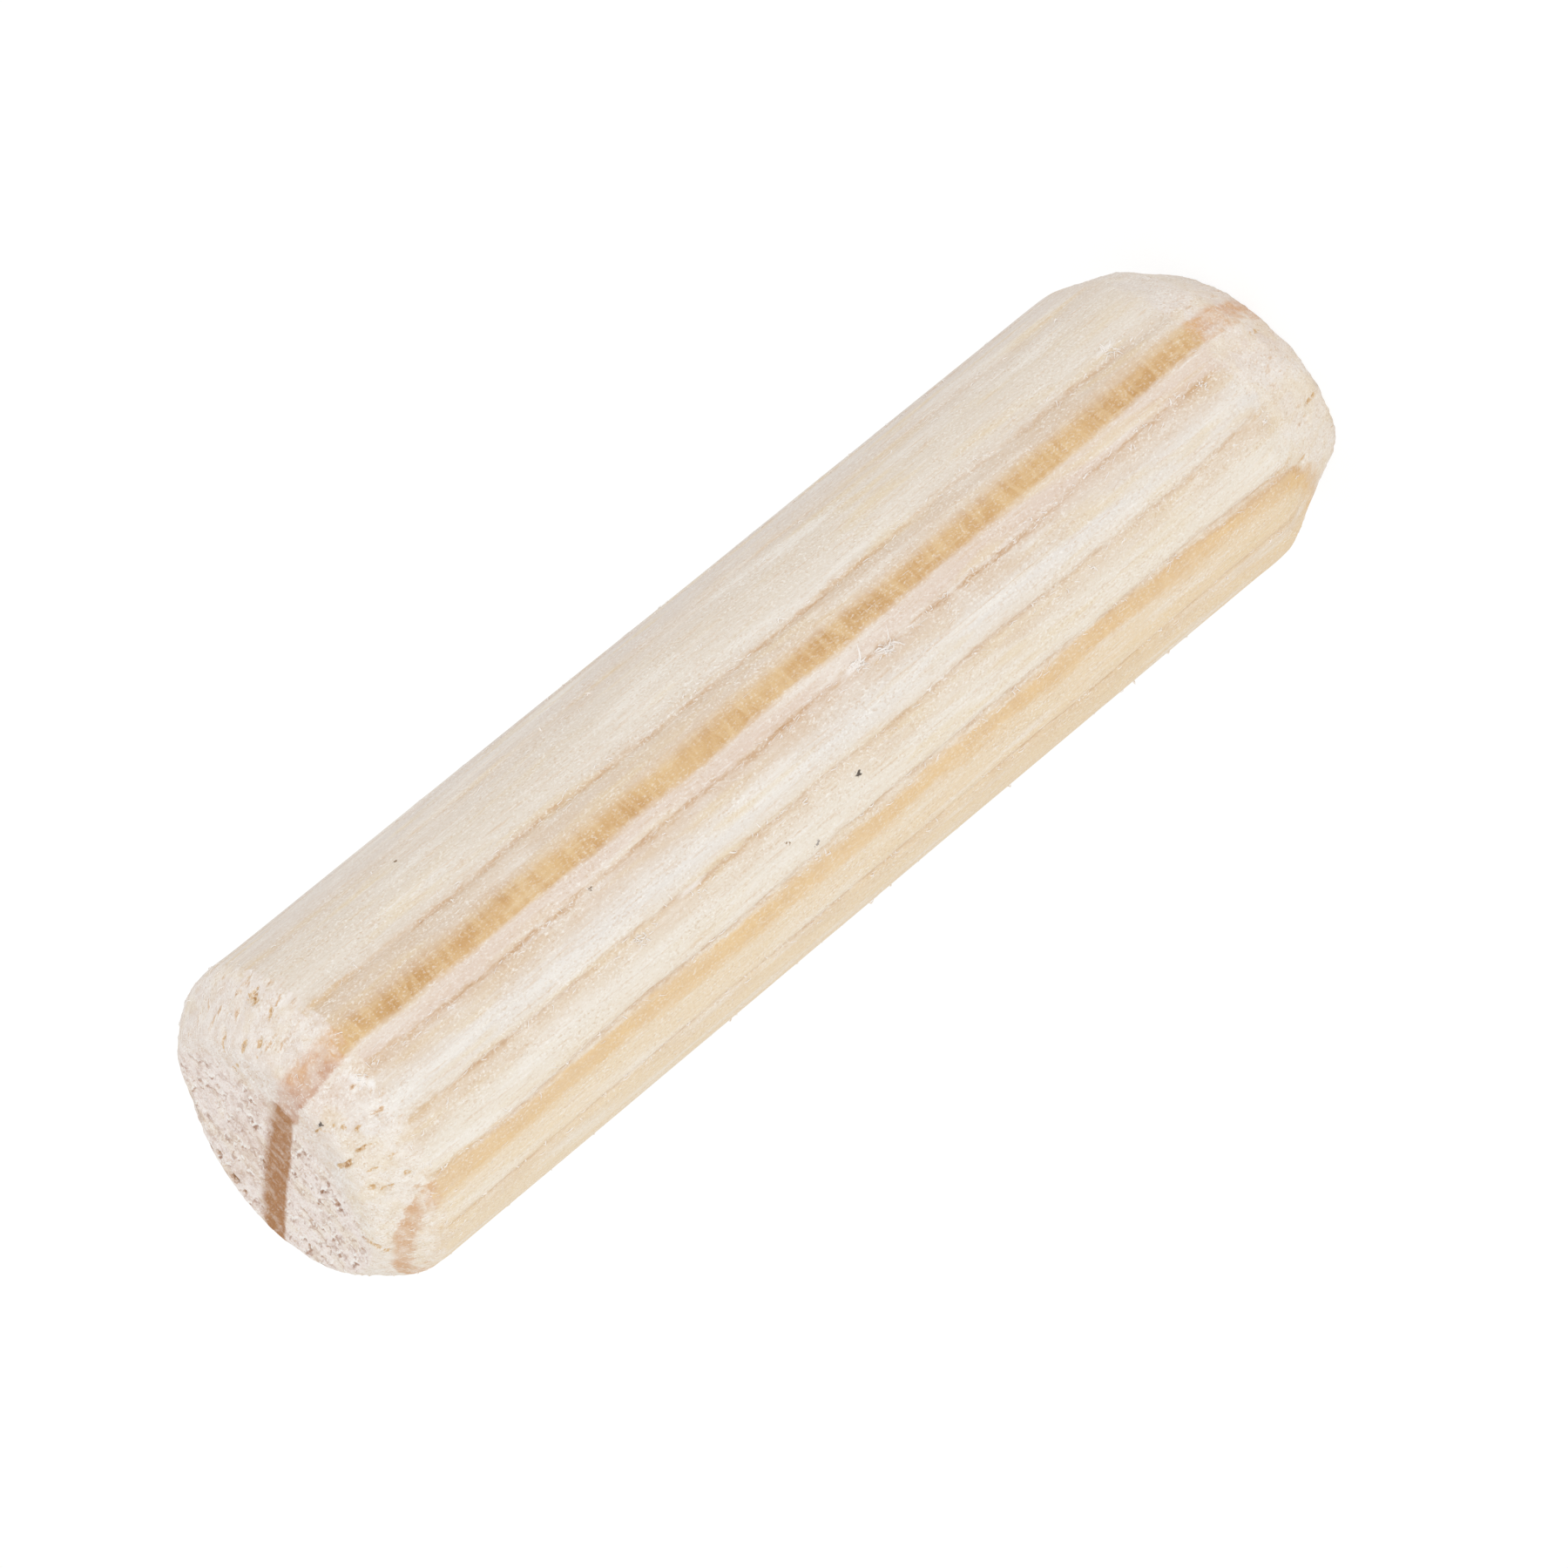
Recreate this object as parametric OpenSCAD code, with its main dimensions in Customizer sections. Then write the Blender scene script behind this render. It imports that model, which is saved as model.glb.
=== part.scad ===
// Fluted wooden dowel pin, standing on its bottom end.
// Millimetres, +Z along the pin, origin at the centre of the bottom end face.
// The rod is cut to length, both ends are chamfered with softened edges, and
// flutes pressed along its side leave plain round lands between them.

/* [Rod] */
// Diameter over the lands between the flutes
pin_d = 8; // [6:0.5:12]
// Length from one sawn end face to the other
pin_l = 30; // [20:1:60]

/* [Top end] */
// Length of the top chamfer along the pin
top_chamfer_l = 1.15; // [0.8:0.05:2]
// Depth of the top chamfer below the side, at the end face
top_chamfer_depth = 0.9; // [0.5:0.05:1.1]
// Radius that softens the edge between the side and the top chamfer
top_shoulder_r = 1.3; // [0.5:0.1:1.8]
// Radius that softens the edge between the top chamfer and the end face
top_rim_r = 0.45; // [0.2:0.05:0.6]

/* [Bottom end] */
// Length of the bottom chamfer along the pin
bottom_chamfer_l = 2.4; // [1.6:0.1:3]
// Depth of the bottom chamfer below the side, at the end face
bottom_chamfer_depth = 0.8; // [0.5:0.05:1]
// Radius that softens the edge between the side and the bottom chamfer
bottom_shoulder_r = 2; // [0.5:0.1:3]
// Radius that softens the edge between the bottom chamfer and the end face
bottom_rim_r = 0.1; // [0.05:0.05:0.4]
// How far up the side the slope of the worn corner reaches
worn_corner_l = 1.8; // [1.6:0.1:2.4]
// Depth of the worn corner below the side, at the end face
worn_corner_depth = 1.5; // [1.2:0.05:1.6]
// How far the axis of the worn corner lies off the axis of the pin
worn_corner_shift = 0.6; // [0.5:0.05:0.8]
// Direction in which the worn corner faces, in degrees round the pin
worn_corner_angle = -25; // [-180:5:180]

/* [Flutes] */
// Number of flutes pressed along the side
flute_count = 15; // [8:1:18]
// Direction of the first flute, in degrees round the pin
flute_start = -35; // [-180:1:180]
// How far pressing and drying moved the flutes from even spacing, in degrees
flute_wander = 4.5; // [0:0.5:6]
// Number of times that this drift comes and goes round the pin
wander_lobes = 3; // [1:1:5]
// Direction from which the drift is counted, in degrees
wander_start = 58; // [0:2:360]
// Depth of the deepest flute below the lands
flute_depth = 0.26; // [0.12:0.02:0.36]
// Share of that depth which the shallowest flute lacks
flute_uneven = 0.5; // [0:0.05:0.7]
// Direction of the side on which the flutes are deepest, in degrees
flute_deep_side = -100; // [-180:5:180]
// Width of a flute between its two lips
flute_w = 0.26; // [0.2:0.02:0.34]
// Width of the flat at the root of a flute
flute_root_w = 0.08; // [0.04:0.02:0.12]
// Width of the rounded-over lip on each side of a flute
lip_w = 0.13; // [0.06:0.01:0.16]
// Drop of the lip below the land
lip_drop = 0.035; // [0.02:0.005:0.05]

/* [Hidden] */

wood = "#E9DDCB";
$fn = 96;
edge_steps = 4;   // flats that make up each softened edge
past = 1;         // how far a cutter runs past the surface it cuts

pin_r = pin_d / 2;
top_face_r = pin_r - top_chamfer_depth;
bottom_face_r = pin_r - bottom_chamfer_depth;
worn_face_r = pin_r - worn_corner_depth;
flute_pitch = 360 / flute_count;

// Direction of flute k and its depth below the lands
function flute_angle(k) =
    flute_start + k * flute_pitch
    + flute_wander * sin(wander_lobes * k * flute_pitch + wander_start);
function flute_depth_at(k) =
    flute_depth * (1 - flute_uneven * (1 - cos(flute_angle(k) - flute_deep_side)) / 2);

// Points of an arc of radius r that softens corner b of the path a, b, c
function softened(a, b, c, r) =
    let (
        to_a = (a - b) / norm(a - b),
        to_c = (c - b) / norm(c - b),
        half = acos(to_a * to_c) / 2,
        middle = (to_a + to_c) / norm(to_a + to_c),
        centre = b + middle * r / sin(half),
        first = b + to_a * r / tan(half) - centre,
        last = b + to_c * r / tan(half) - centre,
        turn = 180 - 2 * half
    )
    [for (i = [0:edge_steps])
        let (part = i * turn / edge_steps)
        centre + (first * sin(turn - part) + last * sin(part)) / sin(turn)];

// Half section of the chamfered rod, from the middle of the bottom face to
// the middle of the top face
function rod_outline() =
    let (
        bottom_middle = [0, 0],
        bottom_rim = [bottom_face_r, 0],
        bottom_shoulder = [pin_r, bottom_chamfer_l],
        top_shoulder = [pin_r, pin_l - top_chamfer_l],
        top_rim = [top_face_r, pin_l],
        top_middle = [0, pin_l]
    )
    concat(
        [bottom_middle],
        softened(bottom_middle, bottom_rim, bottom_shoulder, bottom_rim_r),
        softened(bottom_rim, bottom_shoulder, top_shoulder, bottom_shoulder_r),
        softened(bottom_shoulder, top_shoulder, top_rim, top_shoulder_r),
        softened(top_shoulder, top_rim, top_middle, top_rim_r),
        [top_middle]);

module chamfered_rod() {
    rotate_extrude() polygon(rod_outline());
}

// Cone that lies inside the rod only at the worn corner of the bottom end.
// Its axis is shifted away from that corner, so it runs out into the chamfer.
module worn_corner_limit() {
    rise = (pin_r - worn_face_r) / worn_corner_l;
    start_r = worn_face_r + worn_corner_shift;
    rotate(worn_corner_angle)
        translate([-worn_corner_shift, 0, -past])
            cylinder(
                h = pin_l + 2 * past,
                r1 = start_r - past * rise,
                r2 = start_r + (pin_l + past) * rise);
}

// Section of a flute cutter: a narrow groove with a flat root, opening into a
// wider and shallower lip on both sides. The land's surface lies at x = 0.
module flute_section(depth) {
    mouth = flute_w / 2 + lip_w;
    flare = lip_w * past / lip_drop;
    polygon([
        [past, -mouth - flare], [-lip_drop, -flute_w / 2], [-depth, -flute_root_w / 2],
        [-depth, flute_root_w / 2], [-lip_drop, flute_w / 2], [past, mouth + flare]
    ]);
}

module flutes() {
    for (k = [0:flute_count - 1])
        rotate(flute_angle(k))
            translate([pin_r, 0, -past])
                linear_extrude(pin_l + 2 * past) flute_section(flute_depth_at(k));
}

module dowel_pin() {
    color(wood)
    difference() {
        intersection() {
            chamfered_rod();
            worn_corner_limit();
        }
        flutes();
    }
}

dowel_pin();
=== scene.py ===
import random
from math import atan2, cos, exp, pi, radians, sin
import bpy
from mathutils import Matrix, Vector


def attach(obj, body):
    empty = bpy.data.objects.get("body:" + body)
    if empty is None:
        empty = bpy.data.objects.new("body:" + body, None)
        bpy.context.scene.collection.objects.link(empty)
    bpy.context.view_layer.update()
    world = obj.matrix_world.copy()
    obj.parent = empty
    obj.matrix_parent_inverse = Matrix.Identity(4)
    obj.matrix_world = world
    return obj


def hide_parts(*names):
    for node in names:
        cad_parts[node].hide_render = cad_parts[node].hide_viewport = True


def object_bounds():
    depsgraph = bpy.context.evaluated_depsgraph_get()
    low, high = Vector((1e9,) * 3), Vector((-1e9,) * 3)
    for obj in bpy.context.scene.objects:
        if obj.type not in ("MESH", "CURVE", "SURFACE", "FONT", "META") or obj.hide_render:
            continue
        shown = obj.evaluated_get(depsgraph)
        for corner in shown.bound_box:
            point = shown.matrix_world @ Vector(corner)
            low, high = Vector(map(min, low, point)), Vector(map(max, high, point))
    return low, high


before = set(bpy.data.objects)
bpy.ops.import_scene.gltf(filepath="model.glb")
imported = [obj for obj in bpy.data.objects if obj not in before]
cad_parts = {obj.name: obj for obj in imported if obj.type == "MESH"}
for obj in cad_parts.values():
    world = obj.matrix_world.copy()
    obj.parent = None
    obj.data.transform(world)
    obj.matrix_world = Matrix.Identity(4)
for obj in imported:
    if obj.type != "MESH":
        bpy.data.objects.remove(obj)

# A fluted softwood dowel pin: pale earlywood, ochre latewood sheets, pressed flutes whose fibres
# have sprung back, and two chamfered ends whose cut fibres tore.
# Lengths are in millimetres until a finished mesh is scaled to the scene's metres. Angles round the
# pin, and the flutes' numbers, go from +X towards +Y.

from types import SimpleNamespace

import bmesh
import bpy
from mathutils import Matrix, Vector, noise
from mathutils.bvhtree import BVHTree

MM = 0.001
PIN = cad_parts["dowel_pin"]
CAD_LOW, CAD_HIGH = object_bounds()
PIN_LENGTH = (CAD_HIGH.z - CAD_LOW.z) / MM
LAND_RADIUS = max(CAD_HIGH.x, CAD_HIGH.y) / MM
BOTTOM_SHOULDER, TOP_SHOULDER = 2.5, 28.4  # heights where the chamfers meet the side
DICE = random.Random(11)


def srgb(hex_colour):
    """Linear red, green, blue and alpha from an sRGB hex value."""
    channels = [int(hex_colour[i:i + 2], 16) / 255 for i in (1, 3, 5)]
    linear = [c / 12.92 if c <= 0.04045 else ((c + 0.055) / 1.055) ** 2.4 for c in channels]
    return (*linear, 1.0)


def ease(value, start, end):
    """0 at start and 1 at end, with soft ends."""
    part = min(1.0, max(0.0, (value - start) / (end - start)))
    return part * part * (3 - 2 * part)


def waver(x, y, z):
    """Smooth noise between about -1 and 1."""
    return noise.noise(Vector((x, y, z)))


def turn_from(start, angle):
    """The turn from start to angle, between -pi and pi."""
    return (angle - start + pi) % (2 * pi) - pi


def new_mesh(name, bm):
    mesh = bpy.data.meshes.new(name)
    bm.to_mesh(mesh)
    bm.free()
    return mesh


def new_object(name, data):
    thing = bpy.data.objects.new(name, data)
    bpy.context.scene.collection.objects.link(thing)
    return thing


# ---- camera

VIEW_ELEVATION = radians(23.358)  # above the horizon
VIEW_ROLL = radians(-129.54)  # turns the pin's top end to the lower left
VIEW_DISTANCE = 177.33  # from the pin's middle
VIEW_RIGHT, VIEW_UP = 0.349, -0.716  # and aside of it, as the camera sees it
IMAGE_SIDE = 1800  # pixels
FOCAL_PIXELS = 9190.6
SENSOR_WIDTH = 36.0
NEAREST, FURTHEST = 0.01, 10  # metres that the camera sees


def add_camera():
    data = bpy.data.cameras.new("camera")
    data.sensor_width = SENSOR_WIDTH
    data.lens = SENSOR_WIDTH * FOCAL_PIXELS / IMAGE_SIDE
    data.clip_start = NEAREST
    data.clip_end = FURTHEST
    camera = new_object("camera", data)
    turn = Matrix.Rotation(pi / 2 - VIEW_ELEVATION, 3, "X") @ Matrix.Rotation(VIEW_ROLL, 3, "Z")
    middle = Vector((0, 0, PIN_LENGTH / 2))
    camera.location = (middle + turn @ Vector((VIEW_RIGHT, VIEW_UP, VIEW_DISTANCE))) * MM
    camera.rotation_euler = turn.to_euler()
    bpy.context.scene.camera = camera


# ---- the solid's form

SOLID = BVHTree.FromPolygons(
    [v.co / MM for v in PIN.data.vertices], [tuple(p.vertices) for p in PIN.data.polygons])
PROBES = 3600  # directions in which the solid is probed for flutes
ON_LAND, IN_FLUTE = 0.01, 0.06  # a drop below the first is a land, above the second a flute


def reach(centre_height, tilt, angle):
    """Where a ray from the axis meets the solid, as (radius, height), and how much the surface
    there faces along the pin, from 0 on the side to 1 on an end face. tilt is from straight up."""
    direction = Vector((sin(tilt) * cos(angle), sin(tilt) * sin(angle), cos(tilt)))
    place, normal, _, _ = SOLID.ray_cast(Vector((0, 0, centre_height)), direction)
    return place.to_2d().length, place.z, abs(normal.z)


def find_flutes():
    """(angle, depth) of each flute, read from the solid at half its length."""
    drops = [LAND_RADIUS - reach(PIN_LENGTH / 2, pi / 2, 2 * pi * i / PROBES)[0]
             for i in range(PROBES)]
    start = next(i for i in range(PROBES) if drops[i] < ON_LAND)
    flutes, run = [], []
    for i in range(start, start + PROBES + 1):
        drop = drops[i % PROBES]
        if drop > IN_FLUTE:
            run.append((2 * pi * i / PROBES, drop))
        elif run:
            deepest = max(d for _, d in run)
            root = [a for a, d in run if d > 0.9 * deepest]
            flutes.append((sum(root) / len(root) % (2 * pi), deepest))
            run = []
    return sorted(flutes)


FLUTES = find_flutes()


def nearest_flute(angle):
    """Number of the nearest flute, and the distance from its root round the side in mm."""
    turns = [turn_from(at, angle) for at, _ in FLUTES]
    k = min(range(len(FLUTES)), key=lambda i: abs(turns[i]))
    return k, turns[k] * LAND_RADIUS


# ---- wood

# Growth rings: RING_NORMAL runs across them, RING_TANGENT along them. They are slightly curved, and
# the curve is least RING_MIDDLE mm along.
RING_NORMAL = Vector((0.948, 0.317, 0.0))
RING_TANGENT = Vector((-0.317, 0.948, 0.0))
RING_MIDDLE = -1.0
RING_CURVE = 0.016  # mm of bend per square mm along
RING_START = -7.84 * RING_CURVE  # makes the bend nothing 2.8 mm from the middle

# How the edges of the rings wander: mm across and along of each wave, its seed, how many mm it
# shifts them, and how much less it does on the end faces
RING_WAVES = ((3.0, 14.0, 1, 0.14, 0.0), (0.3, 2.2, 2, 0.10, -0.07), (0.08, 0.3, 3, 0.06, -0.045))

# Latewood sheets by their place across the rings in mm: where the dark wood starts, where it is
# full, where it starts to end, where it has ended, how dark it gets, and how much further over it
# lies at the bottom end
SHEETS = (
    (0.36, -0.22, -0.46, -0.68, 1.0, 0.13),
    (-3.39, -3.52, -3.65, -3.86, 0.82, -0.01),
    (3.43, 2.73, 2.55, 2.33, 0.1, 0.0))

# Earlywood between the sheets, by its place across the rings in mm. The greyer tones at 3.01 and
# 3.89 mm, on the +X side, are partly the wood's tone and partly painted shade.
EARLYWOOD_AND_SHADE = (
    (-4.1, "#F0DAB8"), (-3.8, "#EFDCC0"), (-3.4, "#F0E5D4"), (-2.97, "#EFE6D8"),
    (-2.45, "#ECDFCD"), (-1.98, "#ECE6DF"), (-1.46, "#E8DCCF"), (-0.9, "#E6D3C4"),
    (-0.48, "#EBDCCE"), (0.42, "#DFCFBE"), (1.15, "#EBE1D4"), (1.88, "#E6DACB"),
    (3.01, "#E5DCD4"), (3.89, "#E3DAD3"))

# Masks, each by where it is 0 and where it is 1: heights, and places across the rings. lower and
# upper grow towards the ends. crown lies on the top chamfer, where the outer sheet shows between
# gap and rubbed. outer is that sheet, brink its dark edge and rim the wood beyond it. browner is an
# edge of the middle sheet, half a side of it, not_past the wood up to it, and dull a side of
# the bottom end that gets painted shade.
HEIGHT_MASKS = {
    "lower": (9.0, 2.5), "upper": (8.0, 26.0), "crown": (28.5, 29.2), "gap": (28.85, 29.05),
    "rubbed": (29.50, 29.65)}
RING_MASKS = {
    "outer": (-2.0, -3.2), "brink": (-3.60, -3.48), "rim": (-3.3, -3.9), "browner": (-0.15, -0.5),
    "half": (-0.34, -0.16), "not_past": (-0.75, -0.45), "dull": (0.5, 1.5)}
MIDDLE_BAND = (0.34, 0.02, -0.45, -0.57)  # the middle sheet on an end face, as in SHEETS

# The top face's own look lies round here, so it stops short on the side that is most worn
FACE_CENTRE = (-0.3, 1.6, 0.0)

# Specks of dirt: angle round the pin in degrees, distance from the axis, height, radius and colour
SPECKS = (
    (-114.2, 4.0, 15.27, 0.085, "#40342B"), (-88.0, 4.0, 21.91, 0.06, "#5E4A3A"),
    (-116.4, 4.0, 17.58, 0.036, "#A58A6E"), (-117.4, 4.0, 17.52, 0.03, "#A58A6E"),
    (-123.3, 4.0, 16.88, 0.034, "#A39A94"), (-124.0, 4.0, 16.95, 0.034, "#A39A94"),
    (-124.6, 4.0, 17.01, 0.03, "#A39A94"), (-35.2, 4.0, 24.35, 0.05, "#8F765C"),
    (-91.7, 3.08, 29.73, 0.075, "#5A4E44"))
SPECK_RAGGED = 0.09  # mm that the outline of a speck wanders

# What each point of the surface tells the wood: how much it faces along the pin, its distance in mm
# from the nearest flute's root, how marked that flute is there, how deep a tear is in tenths of a
# millimetre, and how far its fibres stand up
SURFACE_VALUES = ("end_grain", "flute_side", "flute_mark", "torn", "lifted")

SOFT = {"interpolation_type": "SMOOTHSTEP"}  # setting of a map range that has soft ends


def add(tree, kind, inputs=(), output=None, stops=(), **settings):
    """Adds a node, whose kind may name its operation after a space, with its settings. Fills inputs
    (named, or numbered from 0) with values or with other nodes' outputs, and returns the named
    output or the first one in use. stops are a colour ramp's places and hex colours."""
    kind, *operation = kind.split()
    node = tree.nodes.new("ShaderNode" + kind)
    if operation:
        node.operation = operation[0]
    for name, value in settings.items():
        setattr(node, name, value)
    for key, value in dict(inputs).items():
        if isinstance(key, int):
            socket = node.inputs[key]
        else:
            socket = next(s for s in node.inputs if s.enabled and s.name == key)
        if isinstance(value, bpy.types.NodeSocket):
            tree.links.new(value, socket)
        else:
            socket.default_value = value
    for number, (at, colour) in enumerate(stops):
        if number >= 2:
            node.color_ramp.elements.new(at)
        node.color_ramp.elements[number].position = at
        node.color_ramp.elements[number].color = srgb(colour)
    if output:
        return node.outputs[output]
    return next((s for s in node.outputs if s.enabled), node)


def new_material(name):
    material = bpy.data.materials.new(name)
    material.use_nodes = True
    material.node_tree.nodes.clear()
    return material, material.node_tree


def patches(tree, place, across, along, low, high, seed, detail=2.0):
    """0 to 1 in patches across mm wide and along mm long. low and high set how much they cover."""
    spread = add(tree, "Mapping", {
        "Vector": place, "Location": (seed, seed, seed),
        "Scale": (1 / across, 1 / across, 1 / along)})
    blotch = add(tree, "TexNoise", {"Vector": spread, "Scale": 1.0, "Detail": detail})
    return add(tree, "MapRange", {"Value": blotch, "From Min": low, "From Max": high}, **SOFT)


def stain(tree, wood, colour, strength, *masks):
    """The wood's colour, turned towards colour by strength wherever all the masks are 1."""
    for mask in masks:
        strength = add(tree, "Math MULTIPLY", {0: strength, 1: mask})
    if isinstance(colour, str):
        colour = srgb(colour)
    return add(tree, "Mix", {"Factor": strength, "A": wood, "B": colour}, data_type="RGBA")


def mottle(tree, wood, place, layers, *masks):
    """Stains the wood in patches, one layer after another. Each is the colour and strength of a
    stain, and what patches takes after the place."""
    for colour, strength, *pattern in layers:
        wood = stain(tree, wood, colour, strength, patches(tree, place, *pattern), *masks)
    return wood


def add_masks(tree, here, value, masks):
    """Adds masks of a value to here, from a table of the places where each is 0 and 1."""
    for name, (none, full) in masks.items():
        mask = add(tree, "MapRange", {"Value": value, "From Min": none, "From Max": full})
        setattr(here, name, mask)


def read_surface(tree):
    """What the wood's colours go by. place is in mm, and height is along the pin. unrolled is the
    place moved straight out to the side, so that a pattern runs down a chamfer as the fibres do,
    and smeared is the place as the saw drew the end faces out. cut is 0 on the side and 1 where the
    fibres are cut across, ragged between. facing is 1 on the end faces, face where they have their
    own look, and brown where their latewood is brown. crumble is a pattern of crumbs, and crumbly
    how strongly it shows."""
    here = SimpleNamespace()
    for name in SURFACE_VALUES:
        setattr(here, name, add(tree, "Attribute", output="Fac", attribute_name=name))
    metres = add(tree, "TexCoord", output="Object")
    here.place = place = add(tree, "VectorMath SCALE", {0: metres, "Scale": 1 / MM})
    here.height = add(tree, "SeparateXYZ", {"Vector": place}, output="Z")
    add_masks(tree, here, here.height, HEIGHT_MASKS)

    flat = add(tree, "VectorMath MULTIPLY", {0: place, 1: (1, 1, 0)})
    upright = add(tree, "VectorMath MULTIPLY", {0: place, 1: (0, 0, 1)})
    outward = add(tree, "VectorMath NORMALIZE", {0: flat})
    here.unrolled = add(
        tree, "VectorMath MULTIPLY_ADD", {0: outward, 1: (LAND_RADIUS,) * 3, 2: upright})
    here.smeared = add(tree, "VectorMath MULTIPLY", {0: place, 1: (1, 0.45, 1)})

    ragged = patches(tree, place, 0.3, 0.3, 0.2, 0.8, 15, 3.0)
    ragged = add(tree, "Math MULTIPLY_ADD", {0: ragged, 1: 0.3, 2: -0.15})
    here.cut = add(tree, "Math ADD", {0: here.end_grain, 1: ragged})
    here.facing = add(tree, "MapRange", {
        "Value": here.end_grain, "From Min": 0.80, "From Max": 0.98}, **SOFT)
    worn = add(tree, "VectorMath DISTANCE", {0: flat, 1: FACE_CENTRE})
    worn = add(tree, "Math SUBTRACT", {0: worn, 1: ragged})
    face = add(tree, "MapRange", {"Value": worn, "From Min": 3.85, "From Max": 3.15}, **SOFT)
    here.face = add(tree, "Math MULTIPLY", {0: face, 1: here.facing})
    brown = add(tree, "MapRange", {"Value": worn, "From Min": 3.86, "From Max": 3.66}, **SOFT)
    here.brown = add(tree, "Math MULTIPLY", {0: brown, 1: here.facing})

    here.crumble = patches(tree, place, 0.26, 0.26, 0.30, 0.70, 16, 6.0)
    here.crumbly = add(tree, "MapRange", {
        "Value": here.height, "From Min": 10.0, "From Max": 20.0, "To Min": 0.5})
    return here


def band(tree, value, start, full, fading, ended, darkness=1.0):
    """darkness where value lies between full and fading, and 0 before start and after ended."""
    rise = add(tree, "MapRange", {
        "Value": value, "From Min": start, "From Max": full, "To Max": darkness}, **SOFT)
    fall = add(tree, "MapRange", {"Value": value, "From Min": ended, "From Max": fading}, **SOFT)
    return add(tree, "Math MULTIPLY", {0: rise, 1: fall})


def read_rings(tree, here):
    """Adds what the growth rings give: ring is the place across them in mm, bent a little so that
    no edge is straight, late is how much latewood the side shows, and late_cut the same on the
    cuts."""
    along = add(tree, "VectorMath DOT_PRODUCT", {0: here.place, 1: RING_TANGENT})
    along = add(tree, "Math ADD", {0: along, 1: -RING_MIDDLE})
    squared = add(tree, "Math POWER", {0: along, 1: 2.0})
    curve = add(tree, "Math MULTIPLY_ADD", {0: squared, 1: RING_CURVE, 2: RING_START})
    ring = add(tree, "VectorMath DOT_PRODUCT", {0: here.place, 1: RING_NORMAL})
    ring = add(tree, "Math ADD", {0: ring, 1: curve})
    for across, length, seed, shift, calmer in RING_WAVES:
        bend = patches(tree, here.place, across, length, 0.2, 0.8, seed)
        bend = add(tree, "Math ADD", {0: bend, 1: -0.5})
        shift = add(tree, "Math MULTIPLY_ADD", {0: here.face, 1: calmer, 2: shift})
        ring = add(tree, "Math MULTIPLY_ADD", {0: bend, 1: shift, 2: ring})
    here.ring = ring
    add_masks(tree, here, ring, RING_MASKS)

    # The outer sheet lies further over on the top chamfer
    crown = add(tree, "Math MULTIPLY", {0: here.crown, 1: here.outer})
    crown = add(tree, "Math MULTIPLY_ADD", {0: crown, 1: -0.06, 2: ring})
    here.late = 0.0
    for *edges, darkness, lean in SHEETS:
        place = add(tree, "Math MULTIPLY_ADD", {0: here.lower, 1: -lean, 2: crown})
        sheet = band(tree, place, *edges, darkness)
        here.late = add(tree, "Math MAXIMUM", {0: here.late, 1: sheet})

    here.middle_band = band(tree, ring, *MIDDLE_BAND)
    late_cut = add(tree, "MapRange", {
        "Value": here.late, "From Min": 0.05, "From Max": 0.70}, **SOFT)
    here.late_cut = add(
        tree, "Mix", {"Factor": here.brown, "A": late_cut, "B": here.middle_band},
        data_type="FLOAT")


def earlywood(tree, here):
    """Pale wood with creamier and whiter patches, and fine streaks along the fibres."""
    first, last = EARLYWOOD_AND_SHADE[0][0], EARLYWOOD_AND_SHADE[-1][0]
    share = add(tree, "MapRange", {"Value": here.ring, "From Min": first, "From Max": last})
    # The greyer +X end of this ramp is partly painted shade.
    early = add(tree, "ValToRGB", {"Fac": share}, stops=[
        ((at - first) / (last - first), tone) for at, tone in EARLYWOOD_AND_SHADE])
    early = mottle(tree, early, here.place, (
        ("#F6F1E9", 0.62, 0.5, 4.0, 0.46, 0.70, 4), ("#EBD6B0", 0.52, 0.35, 3.0, 0.50, 0.74, 5),
        ("#DFC2A4", 0.46, 0.07, 1.0, 0.54, 0.76, 6, 3.0),
        ("#FBF7F2", 0.46, 0.06, 0.7, 0.54, 0.78, 7, 3.0)))
    early = stain(tree, early, "#F5E8D2", 0.30, here.rim, here.upper)
    return stain(tree, early, "#E8C99A", 0.12, here.rim, here.lower)


def latewood(tree, here):
    """Ochre wood, with soft lighter bars where the rays cross it every half millimetre or so. The
    outer sheet is lighter, and has one darker edge near the bottom end."""
    tone = patches(tree, here.place, 0.7, 2.2, 0.3, 0.7, 8)
    late = add(tree, "ValToRGB", {"Fac": tone}, stops=[
        (0.0, "#DAB37D"), (0.5, "#D3A872"), (1.0, "#CA9C62")])
    sway = patches(tree, here.place, 0.5, 0.5, 0.2, 0.8, 9)
    sway = add(tree, "CombineXYZ", {"Z": sway})
    swayed = add(tree, "VectorMath MULTIPLY_ADD", {0: sway, 1: (0.1, 0.1, 0.1), 2: here.place})
    late = mottle(tree, late, swayed, (
        ("#EED3A8", 0.42, 0.6, 0.15, 0.42, 0.66, 10), ("#EBCD9E", 0.34, 1.5, 0.45, 0.40, 0.64, 34)))
    late = mottle(tree, late, here.place, [("#EED8B4", 0.34, 0.12, 0.9, 0.50, 0.72, 11, 3.0)])
    late = stain(tree, late, "#F2CC90", 0.58, here.outer)
    late = stain(tree, late, "#F1D3A0", 0.25, here.outer, here.upper)
    return stain(tree, late, "#C8914F", 0.75, here.outer, here.brink, here.lower)


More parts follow.
